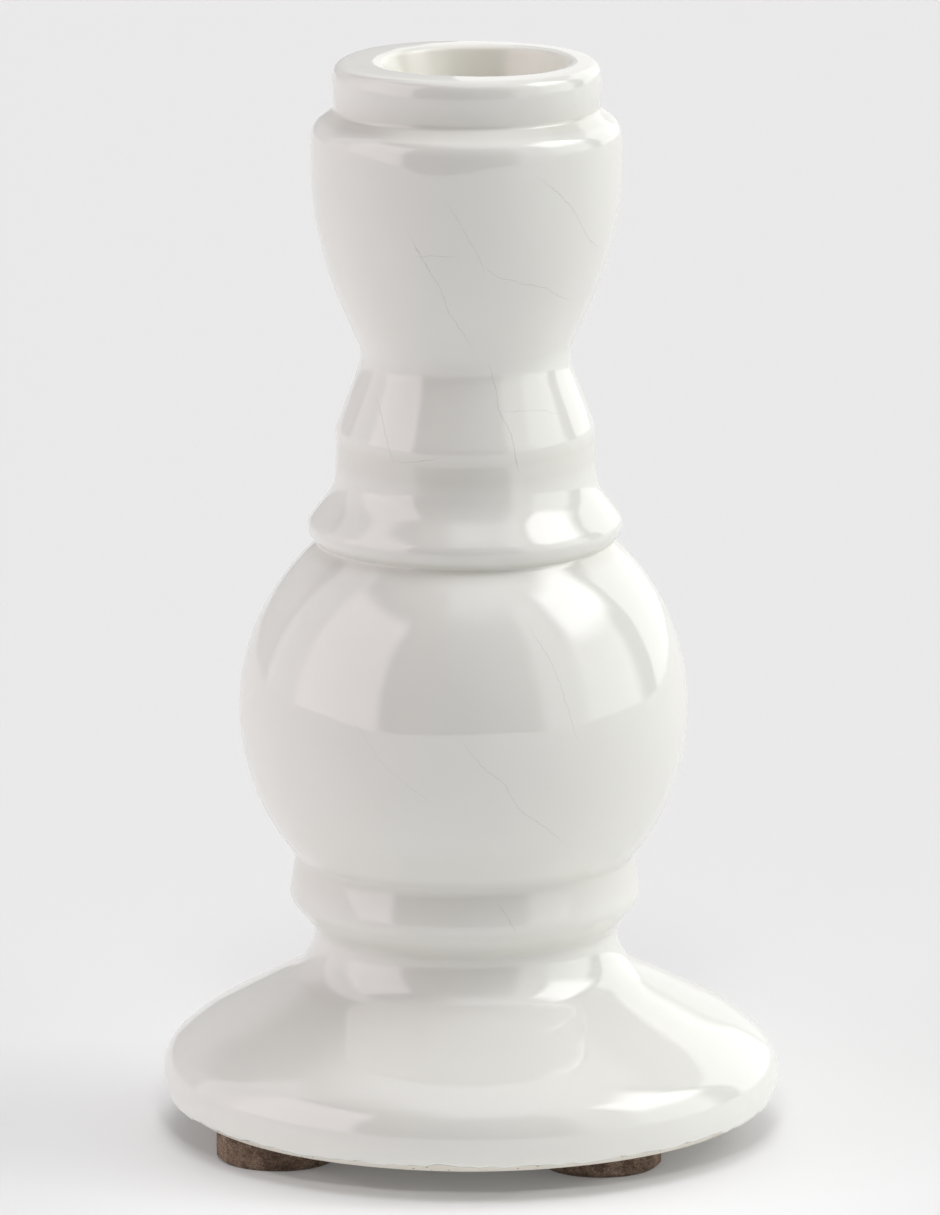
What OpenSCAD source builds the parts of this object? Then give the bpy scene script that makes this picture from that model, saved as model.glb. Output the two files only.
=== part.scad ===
// Turned-profile ceramic candlestick on three stick-on felt pads.
// Every curve of its outline is a bead or a cove: a circle joined to the next by their common tangent.

/* [Candle socket] */
// Diameter of the straight socket wall
socket_bore = 23; // [21:0.5:26]
// Length of the straight socket wall
socket_wall_length = 24; // [16:1:30]
// How far the mouth's edge flares out beyond the straight wall, on each side
mouth_flare = 1.7; // [1:0.1:3]
// Height of the flare between the mouth's edge and the straight wall
mouth_flare_height = 4.4; // [3.6:0.2:7]

/* [Foot] */
// Widest diameter of the foot
foot_diameter = 89.6; // [72:0.4:110]
// Radius of the foot's rounded edge
foot_edge_round = 6.3; // [5:0.1:8]
// How much of that round the flat underside cuts off
foot_edge_cut = 1.6; // [1:0.1:2.5]
// Height of the narrowest line above the foot
foot_height = 25.6; // [21:0.2:31]
// Narrowest diameter between the foot and the waist ring
foot_neck_diameter = 43.2; // [36:0.2:52]
// Radius of the cove that sweeps from that neck out onto the foot
foot_cove_round = 6.5; // [4:0.5:8]

/* [Waist ring] */
// How far the ring under the ball stands out beyond the foot neck, on each side
ring_overhang = 3.8; // [3:0.1:5]
// Rise from the foot neck to the ring's widest line
ring_rise = 6.6; // [5.4:0.2:9]
// Radius of the ring's rounded lower edge
ring_round = 2.6; // [1.5:0.1:3]
// Radius of the tight cove under the ring
ring_cove_round = 1.6; // [0.8:0.1:2]
// Depth of the shallow groove between the ring and the ball
ball_seat_depth = 0.7; // [0.4:0.1:1.5]
// Rise from the ring's widest line to that groove
ball_seat_rise = 5; // [4:0.2:7]

/* [Ball] */
// Diameter of the ball
ball_diameter = 65; // [58:0.5:78]
// Radius of the shallow groove under the ball
ball_seat_round = 1.5; // [0.8:0.1:3]

/* [Collar] */
// Diameter of the sleeve above the collar's bead
sleeve_diameter = 38.1; // [31.6:0.1:45]
// How far the bead stands out beyond the sleeve, on each side
collar_overhang = 3.85; // [3:0.05:5]
// Radius of the bead's edge
collar_round = 2.2; // [1.4:0.1:2.6]
// Depth of the groove between the ball and the bead
collar_groove_depth = 0.8; // [0.5:0.1:1.2]
// Radius of that groove
collar_groove_round = 0.8; // [0.5:0.1:1.2]
// Rise from the groove to the bead's widest line
collar_rise = 2.9; // [2.4:0.1:4]
// Rise from the bead to the sleeve's narrow end
sleeve_rise = 7.5; // [6.2:0.1:10]
// Radius of the cove between the bead and the sleeve
sleeve_cove_round = 4; // [2:0.5:5]
// Depth of the thin line cut round the sleeve
line_depth = 0.35; // [0.2:0.05:0.6]
// Rise from the sleeve's lower end to that line
line_rise = 4.7; // [3:0.1:7]
// Radius of the thin line's cut
line_round = 0.6; // [0.4:0.1:1]
// How far the swelling above the line stands out from it, on each side
swell_height = 0.25; // [0.1:0.05:1]
// Rise from the line to the swelling
swell_rise = 2.3; // [1.9:0.1:4]
// Radius of the swelling
swell_round = 3; // [2:0.5:4]

/* [Neck and cup] */
// Narrowest diameter of the neck under the cup
neck_diameter = 30.3; // [25:0.1:36]
// Rise from the swelling to the neck's narrowest line
neck_rise = 10.3; // [8.6:0.1:14]
// Radius of the neck's cove
neck_cove_round = 5; // [3:0.5:6]
// How far the cup stands out beyond the lip, on each side
cup_overhang = 2.8; // [1.5:0.1:5]
// Rise from the neck to the cup's widest line
cup_rise = 28; // [23:0.5:34]
// Share of the longest arc, from the cup's widest line to the neck's cove, that the cup's side is bent to
cup_fullness = 0.943; // [0.7:0.001:1]
// Height of the cup's upright band under the shoulder
cup_band_height = 3.6; // [2:0.1:6]
// Radius of the cup's shoulder
shoulder_round = 3.6; // [2.4:0.1:4.2]

/* [Lip] */
// Width of the lip from its outside to the mouth's edge
lip_wall = 6.35; // [5:0.05:8]
// Depth of the crease between the shoulder and the lip
lip_crease_depth = 0.25; // [0.1:0.05:0.6]
// Height between the round of the shoulder and the round of the crease
lip_crease_gap = 0.6; // [0.2:0.1:2]
// Radius of the crease
lip_crease_round = 0.8; // [0.5:0.1:1.2]
// Rise from the crease to the lip's lower edge
lip_edge_rise = 2; // [1.6:0.1:3]
// Radius of the lip's lower edge
lip_edge_round = 1.5; // [0.8:0.1:1.8]
// Height of the lip's upright band
lip_band_height = 2.5; // [1:0.1:5]
// Radius of the lip's outer top edge
lip_top_round = 2; // [1:0.1:2.6]
// Radius of the mouth's inner edge
mouth_round = 1.2; // [0.8:0.1:1.6]
// Radius where the flare turns into the straight socket wall
throat_round = 3; // [2:0.5:4]

/* [Casting] */
// Thickness of the cast wall, with its glaze
wall = 4.5; // [3.5:0.1:5.2]
// Thickness of the fired glaze coat
glaze_thickness = 0.6; // [0.3:0.1:0.7]
// Height of the bare strip wiped clean of glaze above the underside
bare_strip = 0.8; // [0.4:0.1:2]
// Thickness of the floor under the candle
socket_floor = 4.5; // [3:0.5:7]
// Diameter of the drain hole that the slip was poured out of
drain_diameter = 22; // [12:1:28]
// Radius of the hollow's inner corners
hollow_round = 2.5; // [1.5:0.5:3]

/* [Felt pads] */
// Diameter of a felt pad
pad_diameter = 18; // [12:0.5:20]
// Thickness of a felt pad
pad_thickness = 4.7; // [2:0.1:6]
// Thickness of the adhesive disc between a pad and the underside
adhesive_thickness = 0.3; // [0.1:0.1:0.6]
// How far the adhesive disc stops short of the pad's edge
adhesive_inset = 0.3; // [0.1:0.1:1]
// How far each pad's edge lies inside the underside's edge, as the pads are stuck on by hand
pad_insets = [4.2, 1.7, 6.2];
// Direction of each pad from the axis, in degrees anticlockwise from +X
pad_directions = [88, 208, 317];

/* [Hidden] */
$fn = 96;
arc_step = 9;
pads = [0 : len(pad_insets) - 1];

clay_colour = "wheat";
glaze_colour = [0.93, 0.93, 0.91];
adhesive_colour = [0.85, 0.8, 0.6];
felt_colour = [0.3, 0.24, 0.2];

// The underside of the foot stands this high above the table.
stand_height = pad_thickness + adhesive_thickness;

// Diameters that follow from their neighbours: each bead, groove and lip moves with what carries it.
ring_diameter = foot_neck_diameter + 2 * ring_overhang;
ball_seat_diameter = ring_diameter - 2 * ball_seat_depth;
collar_diameter = sleeve_diameter + 2 * collar_overhang;
collar_groove_diameter = collar_diameter - 2 * collar_groove_depth;
line_diameter = sleeve_diameter - 2 * line_depth;
swell_diameter = line_diameter + 2 * swell_height;
mouth_diameter = socket_bore + 2 * mouth_flare;
lip_diameter = mouth_diameter + 2 * lip_wall;
lip_crease_diameter = lip_diameter - 2 * lip_crease_depth;
cup_diameter = lip_diameter + 2 * cup_overhang;

// Heights of the widest and narrowest lines above the foot's underside, stacked from the bottom up.
foot_edge_z = foot_edge_round - foot_edge_cut;
ring_z = foot_height + ring_rise;
ball_seat_z = ring_z + ball_seat_rise;
ball_z = ball_seat_z + rise_to_ball(ball_seat_diameter, ball_seat_round);
collar_groove_z = ball_z + rise_to_ball(collar_groove_diameter, collar_groove_round);
collar_z = collar_groove_z + collar_rise;
sleeve_z = collar_z + sleeve_rise;
line_z = sleeve_z + line_rise;
swell_z = line_z + swell_rise;
neck_z = swell_z + neck_rise;
cup_z = neck_z + cup_rise;
shoulder_z = cup_z + cup_band_height;
lip_crease_z = shoulder_z + shoulder_round + lip_crease_gap + lip_crease_round;
lip_edge_z = lip_crease_z + lip_edge_rise;
lip_top_z = lip_edge_z + lip_band_height;
lip_z = lip_top_z + lip_top_round;
mouth_z = lip_z - mouth_round;
throat_z = mouth_z - mouth_flare_height;
socket_floor_z = throat_z - socket_wall_length;
hollow_top_z = socket_floor_z - socket_floor;

// Radius of the longest arc that has the cup's widest line at its top and still ends on the neck's cove.
cup_spread = (cup_diameter - neck_diameter) / 2 - neck_cove_round;
longest_cup_round =
    (pow(cup_spread, 2) + pow(cup_rise, 2) - pow(neck_cove_round, 2)) / (2 * (cup_spread + neck_cove_round));
cup_side_round = cup_fullness * longest_cup_round;

// Rise between the ball's centre and a groove of this diameter and radius that touches the ball.
function rise_to_ball(diameter, round) =
    sqrt(pow(ball_diameter / 2 + round, 2) - pow(diameter / 2 + round, 2));

// A bead is a convex circle and a cove a hollow one. Each is [centre radius, centre height, signed radius],
// and is placed by the diameter and height of its widest or narrowest line.
function bead(diameter, z, round) = [diameter / 2 - round, z, round];
function cove(diameter, z, round) = [diameter / 2 + round, z, -round];
// The same on a wall that faces the axis.
function inner_bead(diameter, z, round) = [diameter / 2 + round, z, round];

// An angle brought into the turn from -180 to 180 degrees.
function turned(angle) = angle <= -180 ? angle + 360 : angle;

// Direction in which the common tangent of two neighbouring circles faces.
function facing(a, b) =
    let (dr = b[0] - a[0], dz = b[1] - a[1], reach = norm([dr, dz]))
    turned(atan2(dz, dr) - acos(max(-1, min(1, (a[2] - b[2]) / reach))));

// Points along one circle, from facing one direction to facing another.
function arc(circle, from, to) =
    let (steps = max(1, ceil(abs(to - from) / arc_step)))
    [for (i = [0 : steps])
        let (angle = from + (to - from) * i / steps)
        [circle[0] + circle[2] * cos(angle), circle[1] + circle[2] * sin(angle)]];

// The same chain of circles seen from deeper inside the material.
function sunk(chain, depth) = [for (c = chain) [c[0], c[1], c[2] - depth]];

// Outline along a chain of circles, from facing `start` on the first to facing `end` on the last.
function outline(chain, start, end) = [
    for (i = [0 : len(chain) - 1])
        let (from = i == 0 ? start : facing(chain[i - 1], chain[i]))
        let (to = i == len(chain) - 1 ? end : facing(chain[i], chain[i + 1]))
        each arc(chain[i], from, to)
];

foot_edge = bead(foot_diameter, foot_edge_z, foot_edge_round);
foot_cove = cove(foot_neck_diameter, foot_height, foot_cove_round);
ball_seat = cove(ball_seat_diameter, ball_seat_z, ball_seat_round);
ball = [0, ball_z, ball_diameter / 2];
collar_groove = cove(collar_groove_diameter, collar_groove_z, collar_groove_round);
neck = cove(neck_diameter, neck_z, neck_cove_round);

// The glazed outline, from the foot's edge up the outside, over the lip and down to the straight socket wall.
surface = [
    foot_edge,
    foot_cove,
    cove(foot_neck_diameter, foot_height, ring_cove_round),
    bead(ring_diameter, ring_z, ring_round),
    ball_seat,
    ball,
    collar_groove,
    bead(collar_diameter, collar_z, collar_round),
    cove(sleeve_diameter, sleeve_z, sleeve_cove_round),
    cove(line_diameter, line_z, line_round),
    bead(swell_diameter, swell_z, swell_round),
    neck,
    bead(cup_diameter, cup_z, cup_side_round),
    bead(cup_diameter, shoulder_z, shoulder_round),
    cove(lip_crease_diameter, lip_crease_z, lip_crease_round),
    bead(lip_diameter, lip_edge_z, lip_edge_round),
    bead(lip_diameter, lip_top_z, lip_top_round),
    inner_bead(mouth_diameter, mouth_z, mouth_round),
    inner_bead(socket_bore, throat_z, throat_round)
];

// Direction that the foot's edge faces at a given height.
function foot_edge_facing(chain, z) = asin((z - chain[0][1]) / chain[0][2]);

// The glaze's outer and inner outlines both start at the top of the bare strip and end at the throat.
function coat_outline(depth) =
    let (chain = sunk(surface, depth))
    outline(chain, foot_edge_facing(chain, bare_strip), 180);

// Radius of the foot's flat underside.
function underside_radius() =
    let (edge = sunk(surface, glaze_thickness)[0])
    edge[0] + sqrt(pow(edge[2], 2) - pow(edge[1], 2));

// The foot's inner corner keeps the wall under the slope between the foot's edge and its cove.
function foot_corner() =
    let (slope = facing(foot_edge, foot_cove), depth = wall + hollow_round - foot_edge_round)
    let (across = foot_edge[0] * cos(slope) + foot_edge[1] * sin(slope) - depth)
    let (z = wall + hollow_round)
    [(across - z * sin(slope)) / cos(slope), z, hollow_round];

// The hollow follows the outside one wall deeper, without its small beads.
hollow = concat(
    [foot_corner()],
    sunk([foot_cove, ball_seat, ball, collar_groove, neck], wall),
    [bead(neck_diameter - 2 * wall, hollow_top_z - hollow_round, hollow_round)]
);

// One slip-cast, bisque-fired body: socket, walls, closed foot and drain hole in a single turned section.
module ceramic_body() {
    socket = [[socket_bore / 2, throat_z], [socket_bore / 2, socket_floor_z], [0, socket_floor_z]];
    inside = concat([[drain_diameter / 2, 0], [drain_diameter / 2, wall]], outline(hollow, -90, 90));
    inside_down = [for (i = [len(inside) - 1 : -1 : 0]) inside[i]];
    color(clay_colour)
        translate([0, 0, stand_height])
            rotate_extrude()
                polygon(concat(
                    [[underside_radius(), 0]],
                    coat_outline(glaze_thickness),
                    socket,
                    [[0, hollow_top_z]],
                    inside_down
                ));
}

// The glaze, a thin shell of fused glass over the body.
module glaze_coat() {
    under = coat_outline(glaze_thickness);
    under_down = [for (i = [len(under) - 1 : -1 : 0]) under[i]];
    color(glaze_colour)
        translate([0, 0, stand_height])
            rotate_extrude()
                polygon(concat(coat_outline(0), under_down));
}

// Places a child at one pad's centre on the underside, at the given height above the table.
module at_pad(i, z) {
    distance = underside_radius() - pad_insets[i] - pad_diameter / 2;
    rotate([0, 0, pad_directions[i]])
        translate([distance, 0, z])
            children();
}

// Disc of pressure-sensitive adhesive between a pad and the bare clay.
module pad_adhesive(i) {
    color(adhesive_colour)
        at_pad(i, pad_thickness)
            cylinder(h = adhesive_thickness, d = pad_diameter - 2 * adhesive_inset);
}

// Round pad of pressed felt that stands on the table.
module felt_pad(i) {
    color(felt_colour)
        at_pad(i, 0)
            cylinder(h = pad_thickness, d = pad_diameter);
}

ceramic_body();
glaze_coat();
for (i = pads) {
    pad_adhesive(i);
    felt_pad(i);
}
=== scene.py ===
import math

import bpy
import numpy as np
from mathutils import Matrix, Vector


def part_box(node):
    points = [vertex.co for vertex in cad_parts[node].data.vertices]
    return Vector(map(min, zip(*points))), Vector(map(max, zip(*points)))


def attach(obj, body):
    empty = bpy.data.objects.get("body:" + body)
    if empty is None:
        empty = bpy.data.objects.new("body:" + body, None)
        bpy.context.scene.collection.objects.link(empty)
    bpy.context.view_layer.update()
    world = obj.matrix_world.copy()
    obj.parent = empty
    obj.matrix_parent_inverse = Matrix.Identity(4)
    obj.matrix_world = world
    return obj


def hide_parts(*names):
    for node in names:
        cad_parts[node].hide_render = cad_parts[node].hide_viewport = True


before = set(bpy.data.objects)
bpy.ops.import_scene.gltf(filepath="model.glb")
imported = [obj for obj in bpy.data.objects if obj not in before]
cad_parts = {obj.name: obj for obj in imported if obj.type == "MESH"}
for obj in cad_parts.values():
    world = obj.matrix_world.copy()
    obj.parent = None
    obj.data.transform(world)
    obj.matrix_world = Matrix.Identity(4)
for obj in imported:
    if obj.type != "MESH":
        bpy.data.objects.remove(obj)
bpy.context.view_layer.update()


# ---------------------------------------------------------------------------------------------------------
# Cast body
# One hollow casting of white earthenware: the slip was poured into a plaster mould and drained out through
# the hole in the foot, and the shell was fired once. It shows bare on the foot's underside, in the thin
# wiped strip above that, and down in the candle socket.
# ---------------------------------------------------------------------------------------------------------

MM = 0.001
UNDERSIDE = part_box("ceramic_body")[0].z
GLAZE = 0.6         # mm of fired glaze
BARE_STRIP = 0.8    # mm above the underside that were wiped clean
WALL = 4.5          # mm of cast wall, glaze included
CORNER = 2.5        # mm, radius of the hollow's inner corners
SOCKET_BORE = 23.0  # mm, for the foot of a 22 mm taper
ARC_POINTS = 49     # points worked out on each arc of an outline

# The outside from the foot up, one row for each round: the diameter at the round's widest or narrowest line,
# the height of that line above the underside, and the round's radius, all in mm. A bead's radius is positive
# and a cove's negative. Where only part of a round shows, that line may lie out of sight or inside the clay.
OUTSIDE = np.array([
    (89.60, 4.70, 6.3),       # rolled edge of the foot
    (105.28, -12.92, 30.0),   # its slope, the top of a wide, slight bulge
    (44.10, 26.10, -8.0),     # sweep up from the foot
    (44.10, 26.10, -1.6),     # cove under the waist ring
    (50.80, 31.60, 2.6),      # waist ring
    (49.30, 36.85, -1.4),     # seat of the ball
    (65.40, 58.87, 32.7),     # ball
    (43.30, 83.60, -0.3),     # groove between ball and collar
    (45.80, 85.95, 2.2),      # collar
    (37.90, 94.00, -6.5),     # sleeve
    (37.40, 98.15, -0.6),     # thin line cut round the sleeve
    (37.60, 99.75, 3.0),      # swelling
    (30.30, 110.75, -5.0),    # neck
    (44.70, 138.75, 50.0),    # side of the cup
    (44.70, 141.90, 8.5),     # foot of the shoulder
    (44.56, 143.05, 3.0),     # shoulder
    (38.00, 147.35, -0.8),    # crease under the lip
    (38.20, 149.40, 1.4),     # lower edge of the lip
    (38.50, 151.20, 5.0),     # side of the lip
    (38.30, 152.10, 1.7),     # upper edge of the lip
])
# The same for the two rounds on the inside of the mouth.
MOUTH = np.array([
    (26.40, 152.65, 1.2),     # mouth's edge
    (SOCKET_BORE, 148.25, 3.0),  # throat, where the flare meets the straight wall
])
# Rows of the outside that the hollow needs.
EDGE, SWEEP, SEAT, BALL, GROOVE, NECK = 0, 2, 5, 6, 7, 12
SOCKET_FLOOR = 124.25   # mm above the underside
HOLLOW_TOP = 119.75     # mm above the underside
DRAIN = 11.0            # mm, radius of the drain hole
MOUTH_SHIFT = 1.2       # mm that the mouth lies off the middle of the lip


def circles(outside, mouth):
    """Centre radius, centre height and signed radius of each round.

    An outer round's centre lies its radius inside its widest line, diameter / 2 - radius, and an inner one's
    lies as far outside, diameter / 2 + radius. A cove's radius is negative, so one rule serves both kinds.
    """
    side = np.concatenate([np.full(len(outside), -1.0), np.full(len(mouth), 1.0)])
    rows = np.concatenate([outside, mouth])
    return np.stack([rows[:, 0] / 2 + side * rows[:, 2], rows[:, 1], rows[:, 2]], axis=1)


def outline(rounds, start, end):
    """Line of arcs joined by their common tangents, as columns: length, radius, height, facing, hollowness.

    Two neighbouring circles, L apart in the direction d and with signed radii a and b, share the tangent that
    faces d - arccos((a - b) / L). A point that faces t lies at centre + radius * (cos t, sin t). Hollowness
    is 0 on a bead and (1 mm / radius)^2 on a cove, 1 at most, averaged over a bell curve 0.6 mm wide.
    """
    radius, height, bend = rounds.T
    across, up = np.diff(radius), np.diff(height)
    share = np.clip((bend[:-1] - bend[1:]) / np.hypot(across, up), -1, 1)
    tangent = np.arctan2(up, across) - np.arccos(share)
    tangent = np.where(tangent <= -math.pi, tangent + 2 * math.pi, tangent)
    first, last = np.append(start, tangent), np.append(tangent, end)
    facing = first[:, None] + (last - first)[:, None] * np.linspace(0, 1, ARC_POINTS)
    r = (radius[:, None] + bend[:, None] * np.cos(facing)).ravel()
    z = (height[:, None] + bend[:, None] * np.sin(facing)).ravel()
    length = np.append(0, np.cumsum(np.hypot(np.diff(r), np.diff(z))))
    cove = np.repeat(np.where(bend < 0, np.minimum(1, 1 / bend ** 2), 0), ARC_POINTS)
    step = np.gradient(length) + 1e-6
    bell = np.exp(-0.5 * ((length[:, None] - length) / 0.6) ** 2) * step
    return np.stack([length, r, z, facing.ravel(), bell @ cove / bell.sum(axis=1)], axis=1)


def row_places(line, stretch, turn):
    """Places along a line, closer together where it bends.

    Each `stretch` mm of length adds 1 to a count, each `turn` degrees of bend adds 1 more, and a place is
    put wherever the count has grown by about 1.
    """
    count = np.diff(line[:, 0]) / stretch + np.abs(np.diff(line[:, 3])) / math.radians(turn)
    travel = np.append(0, np.cumsum(count))
    return np.interp(np.linspace(0, travel[-1], math.ceil(travel[-1]) + 1), travel, line[:, 0])


def along(line, place):
    """Radius, height, facing and hollowness of a line at any array of places on it."""
    return [np.interp(place, line[:, 0], line[:, k]) for k in (1, 2, 3, 4)]


def handled(r, angle, z):
    """Where a point of the true turned shape ends up on the real, hand-finished casting.

    The column sways: its centre is a smooth mean of a few stations, each weighted by a bell curve 9 mm wide.
    The mouth lies off centre in the lip, by a share that grows inwards from the lip's outside. Each ring is
    out of round by slow cosines of the angle that drift with height, under 0.3 mm in all, and it tilts and
    ripples up and down by two more, under 0.2 mm, which fade out towards the underside.
    """
    stations = np.array([2.0, 12.0, 26.0, 34.0, 59.0, 86.0, 110.0, 139.0, 155.0])
    sway_x = np.array([0.62, 0.45, -0.40, -0.36, -0.34, -0.20, -0.22, -0.06, 0.02])
    sway_y = np.array([0.10, 0.05, -0.20, -0.10, 0.15, -0.10, 0.12, -0.05, 0.05])
    weight = np.exp(-((z[..., None] - stations) / 9.0) ** 2) + 1e-9
    weight /= weight.sum(axis=-1, keepdims=True)
    inward = np.clip((18.5 - r) / 5.0, 0, 1) * np.clip((z - 122) / 24, 0, 1)
    wave = (
        0.11 * np.cos(2 * angle + 0.8 + z / 31)
        + 0.08 * np.cos(3 * angle - 1.1 + z / 17)
        + 0.05 * np.cos(5 * angle + 2.0 - z / 11)
        + 0.03 * np.cos(8 * angle + z / 6)
    )
    out = r + wave * np.clip(r / 12, 0, 1)
    lift = 0.10 * np.cos(angle - 2.2 + z / 40) + 0.07 * np.cos(3 * angle + z / 13)
    lift = lift * np.clip(z / 20, 0, 1)
    x = out * np.cos(angle) + weight @ sway_x + MOUTH_SHIFT * inward
    y = out * np.sin(angle) + weight @ sway_y
    return np.stack([x * MM, y * MM, (z + lift) * MM + UNDERSIDE], axis=-1)


def round_mesh(name, points, ends):
    """Closed mesh of rows of points round an axis.

    Each cell between two rows and two columns is one face, wound so that it faces outwards when the rows run
    up the outside. With ends "loop" the last row joins the first. With ends "poles" the first and the last
    row shrink to their mean point and close with a fan of triangles.
    """
    rows, columns = points.shape[:2]
    grid = np.arange(rows * columns).reshape(rows, columns)
    if ends == "loop":
        low, high = grid, np.roll(grid, -1, axis=0)
        fans = np.empty((0, 3), int)
        vertices = points.reshape(-1, 3)
    else:
        low, high = grid[:-1], grid[1:]
        poles = rows * columns + np.arange(2)
        rings = (grid[0], grid[-1])
        fans = np.concatenate([
            np.stack([np.roll(rings[0], -1), rings[0], np.full(columns, poles[0])], axis=1),
            np.stack([rings[1], np.roll(rings[1], -1), np.full(columns, poles[1])], axis=1),
        ])
        vertices = np.concatenate([points.reshape(-1, 3), points[[0, -1]].mean(axis=1)])
    quads = np.stack([low, np.roll(low, -1, axis=1), np.roll(high, -1, axis=1), high], axis=-1).reshape(-1, 4)
    mesh = bpy.data.meshes.new(name)
    mesh.from_pydata(vertices, [], quads.tolist() + fans.tolist())
    mesh.update()
    mesh.shade_smooth()
    piece = bpy.data.objects.new(name, mesh)
    bpy.context.scene.collection.objects.link(piece)
    return piece


def angles(columns):
    """Evenly spaced directions round the axis, in radians, as one row."""
    return np.linspace(0, 2 * math.pi, columns, endpoint=False)[None, :]


def hex_colour(code):
    """Linear red, green, blue and alpha of an sRGB hex code."""
    value = np.array([int(code[k:k + 2], 16) for k in (1, 3, 5)]) / 255
    linear = np.where(value <= 0.04045, value / 12.92, ((value + 0.055) / 1.055) ** 2.4)
    return (*linear.tolist(), 1.0)


def node(tree, kind, settings=None, **links):
    """Adds a node: `settings` holds its properties, and each other argument sets or links one input.

    An input goes by its name, with _ for a space, or by its place in the list, as in at0.
    """
    new = tree.nodes.new(kind)
    for name, value in (settings or {}).items():
        setattr(new, name, value)
    for name, value in links.items():
        socket = new.inputs[int(name[2:])] if name.startswith("at") else new.inputs[name.replace("_", " ")]
        if isinstance(value, bpy.types.NodeSocket):
            tree.links.new(value, socket)
        else:
            socket.default_value = value
    return new


def new_material(name):
    """An empty node material, with its tree, its output node and its Object coordinates in mm."""
    material = bpy.data.materials.new(name)
    material.use_nodes = True
    tree = material.node_tree
    tree.nodes.clear()
    place = node(tree, "ShaderNodeTexCoord").outputs["Object"]
    place = node(tree, "ShaderNodeVectorMath", {"operation": "SCALE"}, at0=place, Scale=1 / MM).outputs[0]
    return material, tree, node(tree, "ShaderNodeOutputMaterial"), place


rounds = circles(OUTSIDE, MOUTH)
under_rounds = rounds - np.array([0, 0, GLAZE])
edge_r, edge_z, edge_round = rounds[EDGE]
edge_start = math.asin((BARE_STRIP - edge_z) / edge_round)
under_start = -math.asin(under_rounds[EDGE, 1] / under_rounds[EDGE, 2])
under_line = outline(under_rounds, under_start, math.pi)

# The hollow follows the outside one wall deeper, past the coves that are deep enough to show inside.
slope = outline(rounds[[EDGE, SWEEP]], edge_start, edge_start)[ARC_POINTS, 3]
across = edge_r * math.cos(slope) + edge_z * math.sin(slope) + edge_round - WALL - CORNER
corner_z = WALL + CORNER
hollow_rounds = np.concatenate([
    [((across - corner_z * math.sin(slope)) / math.cos(slope), corner_z, CORNER)],
    rounds[[SWEEP, SEAT, BALL, GROOVE, NECK]] - np.array([0, 0, WALL]),
    [(OUTSIDE[NECK, 0] / 2 - WALL - CORNER, HOLLOW_TOP - CORNER, CORNER)],
])
hollow_line = outline(hollow_rounds, -math.pi / 2, math.pi / 2)

outer_r, outer_z = along(under_line, row_places(under_line, 3.0, 18))[:2]
inner_r, inner_z = along(hollow_line, row_places(hollow_line, 4.0, 18))[:2]
drain_r = np.array([DRAIN, DRAIN - 0.25, DRAIN - 0.3, DRAIN - 0.3, DRAIN - 0.25, DRAIN])
drain_z = np.array([WALL, WALL - 0.05, WALL - 0.3, 0.3, 0.05, 0.0])
floor_r = np.array([14.0, 18.0, 24.0, 30.0, 36.0, outer_r[0] - 0.7])
socket_r = np.array([SOCKET_BORE / 2] * 8 + [11.2, 10.4, 9.0, 6.0, 3.0])
socket_z = np.concatenate([
    np.linspace(148.2, SOCKET_FLOOR + 1.2, 8),
    SOCKET_FLOOR + np.array([0.35, 0, 0, 0, 0]),
])
body_r = np.concatenate([[3.0], inner_r[::-1], drain_r, floor_r, outer_r, socket_r])
body_z = np.concatenate([[HOLLOW_TOP], inner_z[::-1], drain_z, np.zeros(6), outer_z, socket_z])

cast_body = round_mesh("cast_body", handled(body_r[:, None], angles(224), body_z[:, None]), "poles")

# Bisque-fired white earthenware: a dry, chalky cream. The eye sees clouds about 9 mm wide, a grain of 0.4 mm,
# and a grey grog speck in every 1.3 mm or so.
material, tree, output, place = new_material("bisque_earthenware")
cloud = node(tree, "ShaderNodeTexNoise", Vector=place, Scale=0.11, Detail=4.0)
tone = node(tree, "ShaderNodeMix", {"data_type": "RGBA"}, Factor=cloud.outputs["Fac"],
            A=hex_colour("#D9D4C8"), B=hex_colour("#EAE6DC"))
speck = node(tree, "ShaderNodeTexVoronoi", Vector=place, Scale=0.8)
speck = node(tree, "ShaderNodeMapRange", Value=speck.outputs["Distance"], at1=0.08, at2=0.2, at3=1.0, at4=0.0)
tone = node(tree, "ShaderNodeMix", {"data_type": "RGBA"}, Factor=speck.outputs[0], A=tone.outputs["Result"],
            B=hex_colour("#A89C88"))
grain = node(tree, "ShaderNodeTexNoise", Vector=place, Scale=2.6, Detail=6.0)
bump = node(tree, "ShaderNodeBump", Strength=0.6, Distance=0.0001, Height=grain.outputs["Fac"])
skin = node(tree, "ShaderNodeBsdfPrincipled", Base_Color=tone.outputs["Result"], Roughness=0.92, IOR=1.45,
            Normal=bump.outputs[0])
tree.links.new(skin.outputs[0], output.inputs["Surface"])
cast_body.data.materials.append(material)

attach(cast_body, "root")
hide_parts("ceramic_body")


# ---------------------------------------------------------------------------------------------------------
# Glaze coat
# A thick, glassy white glaze, dipped over the whole outside and into the mouth, then fired again. It pools
# in the coves, thins on the sharp rounds, crazed as it cooled, and ends in a ragged roll above the foot's
# wiped edge.
# ---------------------------------------------------------------------------------------------------------

outer_line = outline(rounds, edge_start, math.pi)
skin_line = outline(under_rounds, math.asin((BARE_STRIP - edge_z) / under_rounds[EDGE, 2]), math.pi)
ROLL = 1.5          # mm of the outline that the rolled lower edge takes
FADE = 2.2          # mm of the outline over which the edge's unevenness dies away
INWARD_ABOVE = 130  # mm: above this height only the mouth faces inwards
places = row_places(outer_line, 1.9, 9.5)
roll = ROLL * np.array([0, 0.02, 0.07, 0.15, 0.27, 0.42, 0.58, 0.76])
places = np.concatenate([roll, places[places > ROLL]])
angle = angles(392)

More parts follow.
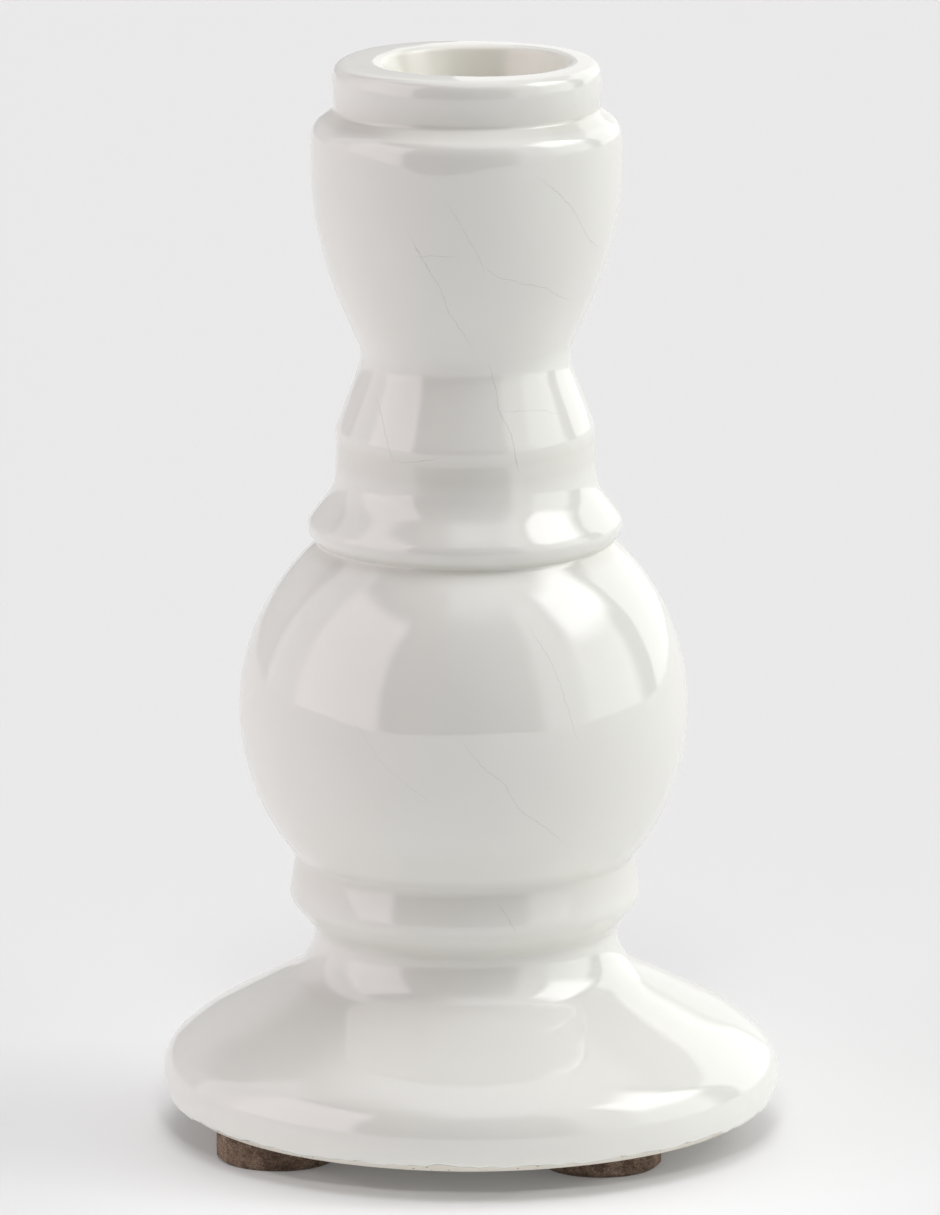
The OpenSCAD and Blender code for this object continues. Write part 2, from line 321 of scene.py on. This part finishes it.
# The lower edge runs up and down by slow and quick waves of the angle, fading out over the first few mm.
ragged = (
    0.22 * np.sin(7 * angle + 0.6) + 0.20 * np.sin(19 * angle + 1.9) + 0.15 * np.sin(43 * angle + 4.0)
    + 0.12 * np.sin(71 * angle + 0.9) + 0.08 * np.sin(97 * angle + 2.6)
)
fade = np.exp(-(places[:, None] / FADE) ** 2)
r, z, facing, hollow = along(outer_line, np.maximum(places[:, None] + ragged * fade, 0.05))

# A quarter round takes the edge down to the clay, and a slight roll stands proud behind it.
up_edge = np.clip(places[:, None] / 0.6, 0, 1)
down_edge = np.clip((places[-1] - places[:, None]) / 0.5, 0, 1)
sunk = sum(GLAZE * (1 - np.sqrt(1 - (1 - share) ** 2)) for share in (up_edge, down_edge))
sunk = np.minimum(sunk, 0.98 * GLAZE) - 0.10 * np.exp(-((places[:, None] - 1.3) / 0.7) ** 2)
r, z = r - sunk * np.cos(facing), z - sunk * np.sin(facing)

back = row_places(skin_line, 6.5, 33)[::-1]
back_r, back_z = along(skin_line, back)[:2]
shift = ragged * np.exp(-(back[:, None] / FADE) ** 2)
back_r, back_z, back_facing, _ = along(skin_line, np.maximum(back[:, None] + shift, 0.05))
full_r = np.concatenate([r, back_r + 0 * angle])
full_z = np.concatenate([z, back_z + 0 * angle])
glaze_coat = round_mesh("glaze", handled(full_r, angle + 0 * full_r, full_z), "loop")

# Where the glaze pools: 1 in the coves and in the mouth, 0 on open faces, kept with each vertex.
inside = np.clip((facing - math.radians(95)) / math.radians(60), 0, 1) * (z > INWARD_ABOVE)
pooled = np.clip(hollow * 0.45 + inside, 0, 1)
pooled = np.concatenate([pooled, np.zeros_like(back_r + 0 * angle)])
glaze_coat.data.attributes.new("pooled", "FLOAT", "POINT").data.foreach_set("value", pooled.ravel())

# Painted shade: the glaze is darkened towards grey in the coves, where shade falls. The mask is the
# hollowness above 0.1, brought to 0 to 0.1.
painted_cove_shade = np.concatenate([0.1 * np.clip((hollow - 0.10) / 0.22, 0, 1), np.zeros_like(back_r + 0 * angle)])
glaze_coat.data.attributes.new("painted_cove_shade", "FLOAT", "POINT").data.foreach_set("value", painted_cove_shade.ravel())

# Crackle glaze: opaque white with a wet gloss. The eye sees sharp window-like reflections with slightly wavy
# edges, a hint of cream where the glaze lies thick, and sparse dark hairlines; the deepest coves are darkened
# with painted shade. The white drifts a little over clouds about 20 mm wide.
material, tree, output, place = new_material("white_crackle_glaze")
cloud = node(tree, "ShaderNodeTexNoise", Vector=place, Scale=0.05, Detail=3.0)
white = node(tree, "ShaderNodeMix", {"data_type": "RGBA"}, Factor=cloud.outputs["Fac"],
             A=hex_colour("#E7E7E1"), B=hex_colour("#EDEDE7"))
# The painted shade mask of the coves, read back from the mesh.
painted_cove_shade = node(tree, "ShaderNodeAttribute", {"attribute_name": "painted_cove_shade"})
pool = node(tree, "ShaderNodeAttribute", {"attribute_name": "pooled"})
white = node(tree, "ShaderNodeMix", {"data_type": "RGBA"}, Factor=pool.outputs["Fac"],
             A=white.outputs["Result"], B=hex_colour("#EDECE2"))

# A craze line is where a bent sheet through the glaze meets the surface: a plane, pushed about by a slow
# noise and a fine one. Each row holds a line's middle in mm, from the point of the table under the axis, the
# direction that its sheet faces, its half length in mm and how dark it is.
CRAZE = (
    ((-4, -18, 129), (0.91, 0.0, 0.42), 11, 1.0), ((-4, -19, 134), (0.09, 0.0, 1.0), 4, 0.8),
    ((0, -21, 137), (0.88, 0.0, 0.48), 7, 0.7), ((9, -17, 129), (0.51, 0.0, 0.86), 10, 0.9),
    ((15, -15, 139), (0.84, 0.0, 0.54), 10, 0.9), ((-11, -12, 107), (0.96, 0.0, 0.29), 6, 1.0),
    ((-7, -17, 104), (0.0, 0.0, 1.0), 4, 0.8), ((4, -15, 113), (0.98, 0.0, 0.19), 5, 0.8),
    ((6, -17, 107), (0.92, 0.0, 0.39), 6, 1.0), ((10, -14, 110), (0.05, 0.1, 1.0), 6, 0.7),
    ((13, -28, 73), (0.90, 0.1, 0.42), 10, 0.8), ((7, -30, 57), (0.74, 0.0, 0.66), 13, 0.8),
    ((-11, -30, 62), (0.70, 0.0, 0.71), 9, 0.4), ((6, -25, 38), (0.92, 0.0, 0.38), 3, 0.9),
    ((-19, 8, 134), (0.1, 0.82, 0.50), 14, 0.9), ((10, 18, 138), (0.76, 0.1, -0.60), 12, 0.8),
    ((27, 12, 66), (0.2, 0.80, 0.55), 15, 0.9), ((-18, 24, 58), (0.80, 0.3, 0.50), 16, 0.9),
    ((-29, 4, 70), (0.2, 0.84, -0.42), 13, 0.7), ((4, 32, 70), (0.88, 0.1, -0.36), 14, 0.7),
    ((16, 24, 17), (0.72, 0.60, 0.1), 13, 0.7), ((-30, 14, 16), (0.40, 0.86, 0.1), 12, 0.6),
    ((14, 6, 106), (0.3, 0.86, 0.34), 10, 0.8), ((-8, 15, 104), (0.88, 0.2, 0.34), 9, 0.8),
)
SLOW_BEND = 4.0             # mm from side to side, over about 10 mm
FINE_BEND = 0.7             # mm from side to side, over about 1 mm
HAIRLINE = (0.02, 0.08)     # mm from its middle to the end of its core and to its edge
HAIRLINE_DARKNESS = 0.24
slow = node(tree, "ShaderNodeTexNoise", Vector=place, Scale=0.10, Detail=1.0)
slow = node(tree, "ShaderNodeMath", {"operation": "MULTIPLY"}, at0=slow.outputs["Fac"], at1=SLOW_BEND)
fine = node(tree, "ShaderNodeTexNoise", Vector=place, Scale=0.8, Detail=3.0)
bend = node(tree, "ShaderNodeMath", {"operation": "MULTIPLY_ADD"}, at0=fine.outputs["Fac"], at1=FINE_BEND,
            at2=slow.outputs[0])
lines = None
for middle, facing, half, dark in CRAZE:
    off = node(tree, "ShaderNodeVectorMath", {"operation": "SUBTRACT"}, at0=place, at1=middle)
    gap = node(tree, "ShaderNodeVectorMath", {"operation": "DOT_PRODUCT"}, at0=off.outputs[0],
               at1=tuple(np.array(facing) / np.linalg.norm(facing)))
    gap = node(tree, "ShaderNodeMath", {"operation": "ADD"}, at0=gap.outputs["Value"], at1=bend.outputs[0])
    gap = node(tree, "ShaderNodeMath", {"operation": "SUBTRACT"}, at0=gap.outputs[0],
               at1=(SLOW_BEND + FINE_BEND) / 2)
    gap = node(tree, "ShaderNodeMath", {"operation": "ABSOLUTE"}, at0=gap.outputs[0])
    line = node(tree, "ShaderNodeMapRange", {"interpolation_type": "SMOOTHSTEP"}, Value=gap.outputs[0],
                at1=HAIRLINE[0], at2=HAIRLINE[1], at3=dark, at4=0.0)
    reach = node(tree, "ShaderNodeVectorMath", {"operation": "LENGTH"}, at0=off.outputs[0])
    reach = node(tree, "ShaderNodeMapRange", Value=reach.outputs["Value"], at1=half * 0.6, at2=half,
                 at3=1.0, at4=0.0)
    line = node(tree, "ShaderNodeMath", {"operation": "MULTIPLY"}, at0=line.outputs[0], at1=reach.outputs[0])
    lines = line if lines is None else node(tree, "ShaderNodeMath", {"operation": "MAXIMUM"},
                                            at0=lines.outputs[0], at1=line.outputs[0])
# Painted shade: the coves' mask mixes the white towards grey.
white = node(tree, "ShaderNodeMix", {"data_type": "RGBA"}, Factor=painted_cove_shade.outputs["Fac"],
             A=white.outputs["Result"], B=hex_colour("#8C867C"))
strength = node(tree, "ShaderNodeMath", {"operation": "MULTIPLY"}, at0=lines.outputs[0],
                at1=HAIRLINE_DARKNESS)
colour = node(tree, "ShaderNodeMix", {"data_type": "RGBA"}, Factor=strength.outputs[0],
              A=white.outputs["Result"], B=hex_colour("#77736C"))

# The wet surface waves by about 0.02 mm over 7 mm, with a much finer orange peel on top. Handling has left
# faint smears on it, and where it pooled it is a little less sharp.
swell = node(tree, "ShaderNodeTexNoise", Vector=place, Scale=0.14, Detail=1.0)
peel = node(tree, "ShaderNodeTexNoise", Vector=place, Scale=0.9, Detail=2.0)
bump = node(tree, "ShaderNodeBump", Strength=1.0, Distance=0.00006, Height=swell.outputs["Fac"])
bump = node(tree, "ShaderNodeBump", Strength=1.0, Distance=0.000004, Height=peel.outputs["Fac"],
            Normal=bump.outputs[0])
smear = node(tree, "ShaderNodeTexNoise", Vector=place, Scale=0.22, Detail=3.0)
smear = node(tree, "ShaderNodeMapRange", Value=smear.outputs["Fac"], at1=0.4, at2=0.7, at3=0.012, at4=0.045)
wet = node(tree, "ShaderNodeMath", {"operation": "MULTIPLY_ADD"}, at0=pool.outputs["Fac"], at1=0.22,
           at2=smear.outputs[0])
gloss = node(tree, "ShaderNodeBsdfPrincipled", Base_Color=colour.outputs["Result"], Roughness=wet.outputs[0],
             IOR=1.7, Normal=bump.outputs[0])
tree.links.new(gloss.outputs[0], output.inputs["Surface"])
glaze_coat.data.materials.append(material)

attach(glaze_coat, "root")
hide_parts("glaze_coat")


# ---------------------------------------------------------------------------------------------------------
# Adhesive discs
# Each pad came with its own disc of cream pressure-sensitive adhesive. Pressed onto the rough clay by hand,
# it squeezed out unevenly and stops just short of the pad's edge.
# ---------------------------------------------------------------------------------------------------------

PADS = ("1", "2", "3")

# Adhesive: a soft translucent acrylic film, dull cream with a slight shine, smeared in streaks 2 mm wide.
material, tree, output, place = new_material("acrylic_adhesive")
smear = node(tree, "ShaderNodeTexNoise", Vector=place, Scale=0.5, Detail=4.0)
tone = node(tree, "ShaderNodeMix", {"data_type": "RGBA"}, Factor=smear.outputs["Fac"],
            A=hex_colour("#B9A777"), B=hex_colour("#D9CDA6"))
bump = node(tree, "ShaderNodeBump", Strength=0.5, Distance=0.0001, Height=smear.outputs["Fac"])
film = node(tree, "ShaderNodeBsdfPrincipled", Base_Color=tone.outputs["Result"], Roughness=0.38, IOR=1.47,
            Subsurface_Weight=0.2, Subsurface_Scale=0.0006, Normal=bump.outputs[0])
tree.links.new(film.outputs[0], output.inputs["Surface"])


def disc(name, low, high, wave, seed, round_edge, columns):
    """Closed disc inside a node's box, with a rounded, uneven rim.

    Across the top and bottom the radius falls to a pole. Up the rim it is R - e * (1 - sqrt(1 - t^2)), with
    e the rounding and t the height from the middle, brought into 0 to 1 over the last e of thickness. The
    rim also goes in and out by `wave`, a sum of seeded cosines of the angle that drift with height, and it is
    drawn in by 1.2 waves, so that it stays inside the box.
    """
    centre, half = (low + high) / 2, (high - low) / 2
    radius = half[0]
    steps = np.linspace(-1, 1, 9)
    t = np.clip((np.abs(steps) * half[2] - (half[2] - round_edge)) / round_edge, 0, 1)
    rim = radius - round_edge * (1 - np.sqrt(1 - t ** 2)) - 1.2 * wave
    flat = radius * np.array([0.2, 0.45, 0.7, 0.88])
    r = np.concatenate([flat, rim, flat[::-1]])[:, None]
    z = np.concatenate([np.full(4, -1.0), steps, np.full(4, 1.0)])[:, None] * half[2]
    angle = angles(columns)
    rng = np.random.default_rng(seed)
    out = sum(
        rng.uniform(0.3, 1) / math.sqrt(n)
        * np.cos(n * angle + rng.uniform(0, 6.3) + z / half[2] * rng.uniform(0, 2))
        for n in (2, 3, 5, 8, 13, 21, 34)
    )
    r = r + wave * np.clip(out / 2, -1, 1) * (r > 0.8 * radius)
    return round_mesh(name, np.stack([
        centre[0] + r * np.cos(angle), centre[1] + r * np.sin(angle), centre[2] + z + 0 * r,
    ], axis=-1), "poles")


for number in PADS:
    low, high = (np.array(corner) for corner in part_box("pad_adhesive_" + number))
    film = disc("adhesive_disc_" + number, low, high, 0.25 * MM, 10 + int(number), 0.05 * MM, 96)
    film.data.materials.append(material)
    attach(film, "root")
    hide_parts("pad_adhesive_" + number)


# ---------------------------------------------------------------------------------------------------------
# Felt pads
# Three round pads die-cut from brown pressed wool felt, 5 mm thick with their adhesive, stuck under the foot.
# The cut sides are fuzzy and mottled with lighter fibres, and bulge a little under the weight.
# ---------------------------------------------------------------------------------------------------------

# Pressed wool felt: matt and hairy. Light and dark wool is carded together, so the eye sees short tangled
# streaks about 0.3 mm wide, over soft patches a few mm wide.
material, tree, output, place = new_material("pressed_wool_felt")
squashed = node(tree, "ShaderNodeVectorMath", {"operation": "MULTIPLY"}, at0=place, at1=(1.0, 1.0, 1.8))
fibre = node(tree, "ShaderNodeTexNoise", Vector=squashed.outputs[0], Scale=2.2, Detail=5.0, Roughness=0.7,
             Distortion=1.6)
patch = node(tree, "ShaderNodeTexNoise", Vector=place, Scale=0.45, Detail=2.0)
mixed = node(tree, "ShaderNodeMath", {"operation": "MULTIPLY_ADD"}, at0=patch.outputs["Fac"], at1=0.45,
             at2=fibre.outputs["Fac"])
mixed = node(tree, "ShaderNodeMapRange", Value=mixed.outputs[0], at1=0.52, at2=0.95)
ramp = node(tree, "ShaderNodeValToRGB", Fac=mixed.outputs[0])
stops = ramp.color_ramp.elements
stops[0].color, stops[1].color = hex_colour("#3A2E25"), hex_colour("#CBB69F")
for position, code in ((0.35, "#6A5648"), (0.62, "#937C6A")):
    stops.new(position).color = hex_colour(code)
bump = node(tree, "ShaderNodeBump", Strength=1.0, Distance=0.0003, Height=fibre.outputs["Fac"])
wool = node(tree, "ShaderNodeBsdfPrincipled", Base_Color=ramp.outputs[0], Roughness=0.95, IOR=1.4,
            Sheen_Weight=0.35, Sheen_Roughness=0.5, Sheen_Tint=hex_colour("#A08F7C"), Normal=bump.outputs[0])
tree.links.new(wool.outputs[0], output.inputs["Surface"])

for number in PADS:
    low, high = (np.array(corner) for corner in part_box("felt_pad_" + number))
    pad = disc("felt_pad_" + number + "_wool", low, high, 0.12 * MM, 20 + int(number), 0.7 * MM, 128)
    pad.data.materials.append(material)
    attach(pad, "root")
    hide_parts("felt_pad_" + number)


# ---------------------------------------------------------------------------------------------------------
# Table, light and camera
# The candlestick stands on a plain white paper sweep that runs on past the view. A big, faintly pink softbox
# hangs on the left, a smaller and stronger one on the right, and the room behind the camera is dim.
# ---------------------------------------------------------------------------------------------------------

mesh = bpy.data.meshes.new("floor")
mesh.from_pydata([(-4, -1.1, 0), (4, -1.1, 0), (4, 4, 0), (-4, 4, 0)], [], [(0, 1, 2, 3)])
floor = bpy.data.objects.new("floor", mesh)
bpy.context.scene.collection.objects.link(floor)

# White background paper: dead matt. Its faint glow stands for the light that white studio walls throw back.
material, tree, output, _ = new_material("white_paper_sweep")
paper = node(tree, "ShaderNodeBsdfPrincipled", Base_Color=hex_colour("#C3C3C3"), Roughness=0.9, IOR=1.3,
             Emission_Color=(1.0, 1.0, 1.0, 1.0), Emission_Strength=0.08)
tree.links.new(paper.outputs[0], output.inputs["Surface"])
floor.data.materials.append(material)

# The lamps' cards are soft-edged rectangles of sky: azimuth from the front, to the right, and elevation above
# the table, in degrees, with the softness of the edge, the colour and the strength.
CARDS = (
    (-98, -46, -12, 49, 4, "#FFF3F8", 1.75),     # left softbox
    (-124, -98, -12, 55, 4, "#FFFFFF", 0.9),     # its spill on the wall
    (-182, -124, -12, 27, 9, "#FFFFFF", 0.5),    # low backdrop, left
    (-182, -156, 27, 60, 10, "#FFFFFF", 0.8),    # top of the backdrop, left
    (119, 160, -12, 37.5, 2.0, "#FFFFFF", 1.5),  # lit backdrop, right
    (119, 160, 37.5, 60, 3, "#FFFFFF", 0.5),     # the wall above it
    (160, 182, -12, 28, 4, "#FFFFFF", 1.0),      # its middle, behind the candlestick
    (160, 182, 28, 60, 4, "#FFFFFF", 0.9),       # and shaded above that
    (70, 112, 31, 58, 6, "#FFFFFF", 4.3),        # right softbox
    (66, 104, -12, 31, 5, "#FFFFFF", 1.8),       # white card under it
    (42, 66, -12, 58, 6, "#FFFFFF", 1.15),       # its spill towards the front
    (-46, 42, 20, 58, 9, "#FFFFFF", 0.10),       # grey room above the dark edge of the table
    (-20, 182, 58, 72, 10, "#FFFFFF", 1.3),      # light ceiling over the right
    (-182, -95, 58, 72, 10, "#FFFFFF", 1.1),     # and over the back left
    (-95, -20, 58, 72, 10, "#FFFFFF", 0.4),      # and over the front left
    (-180, 180, 72, 130, 9, "#FFFFFF", 1.25),    # and straight above
)
ROOM = 0.01

world = bpy.data.worlds.new("studio")
bpy.context.scene.world = world
world.use_nodes = True
tree = world.node_tree
tree.nodes.clear()
way = node(tree, "ShaderNodeTexCoord").outputs["Generated"]
way = node(tree, "ShaderNodeSeparateXYZ", Vector=way)
behind = node(tree, "ShaderNodeMath", {"operation": "MULTIPLY"}, at0=way.outputs[1], at1=-1.0)
azimuth = node(tree, "ShaderNodeMath", {"operation": "ARCTAN2"}, at0=way.outputs[0], at1=behind.outputs[0])
elevation = node(tree, "ShaderNodeMath", {"operation": "ARCSINE"}, at0=way.outputs[2])


def edge(value, at, soft):
    """A smooth step from 0 to 1 over `soft` degrees about `at` degrees, falling if `soft` is negative."""
    low, high = math.radians(at - abs(soft)), math.radians(at + abs(soft))
    start = 0.0 if soft > 0 else 1.0
    rise = node(tree, "ShaderNodeMapRange", {"interpolation_type": "SMOOTHSTEP"}, Value=value,
                at1=low, at2=high, at3=start, at4=1.0 - start)
    return rise.outputs[0]


total = node(tree, "ShaderNodeRGB")
total.outputs[0].default_value = (ROOM, ROOM, ROOM, 1)
total = total.outputs[0]
for az_low, az_high, el_low, el_high, soft, code, power in CARDS:
    share = edge(elevation.outputs[0], el_low, soft)
    borders = ((elevation, el_high, -soft), (azimuth, az_low, soft), (azimuth, az_high, -soft))
    for value, at, way_in in borders:
        if abs(at) < 180:
            share = node(tree, "ShaderNodeMath", {"operation": "MULTIPLY"}, at0=share,
                         at1=edge(value.outputs[0], at, way_in)).outputs[0]
    tint = [c * power for c in hex_colour(code)[:3]]
    light = node(tree, "ShaderNodeVectorMath", {"operation": "SCALE"}, at0=tint, Scale=share)
    total = node(tree, "ShaderNodeVectorMath", {"operation": "ADD"}, at0=total, at1=light.outputs[0])
    total = total.outputs[0]
sky = node(tree, "ShaderNodeBackground", Color=total, Strength=1.0)
seen = node(tree, "ShaderNodeLightPath").outputs["Is Camera Ray"]
plain = node(tree, "ShaderNodeBackground", Color=hex_colour("#ECECEC"), Strength=1.0)
sky = node(tree, "ShaderNodeMixShader", at0=seen, at1=sky.outputs[0], at2=plain.outputs[0])
node(tree, "ShaderNodeOutputWorld", Surface=sky.outputs[0])

# Four fill lamps light the table and the pads only: one from high in front, and three low soft spots in front
# and on both sides, so that the light reaches in under the foot's rim. Each row holds a lamp's name, kind and
# strength, where it hangs and what it points at.
LAMP_WIDTH = math.radians(20)   # spread of the sun's rays and of each spot's cone
low_things = bpy.data.collections.new("table_and_pads")
for thing in (floor, *(bpy.data.objects["felt_pad_" + number + "_wool"] for number in PADS)):
    low_things.objects.link(thing)
for name, kind, energy, where, aim in (
    ("table_fill", "SUN", 1.2, (0, -0.54, 0.84), (0, 0, 0)),
    ("table_spot_front", "SPOT", 3.2, (0, -0.42, 0.26), (0, -0.045, 0)),
    ("table_spot_right", "SPOT", 1.6, (0.42, -0.10, 0.18), (0.05, -0.01, 0)),
    ("table_spot_left", "SPOT", 0.9, (-0.42, -0.10, 0.18), (-0.05, -0.01, 0)),
):
    lamp = bpy.data.lights.new(name, kind)
    lamp.energy = energy
    if kind == "SUN":
        lamp.angle = LAMP_WIDTH
    else:
        lamp.shadow_soft_size = 0.02
        lamp.spot_size = LAMP_WIDTH
        lamp.spot_blend = 1.0
    fill_lamp = bpy.data.objects.new(name, lamp)
    fill_lamp.location = where
    fill_lamp.rotation_euler = (Vector(aim) - Vector(where)).to_track_quat("-Z", "Y").to_euler()
    bpy.context.scene.collection.objects.link(fill_lamp)
    fill_lamp.light_linking.receiver_collection = low_things

# A long lens, a little above the candlestick and looking down on it.
CAMERA_TILT = 12.36     # degrees below the horizon
camera_data = bpy.data.cameras.new("camera")
camera_data.sensor_width = 36
camera_data.lens = 383
camera = bpy.data.objects.new("camera", camera_data)
camera.location = (0.0005, -1.8298, 0.4794)
camera.rotation_euler = (math.radians(90 - CAMERA_TILT), 0, 0)
bpy.context.scene.collection.objects.link(camera)
bpy.context.scene.camera = camera
bpy.context.scene.view_settings.view_transform = "Standard"
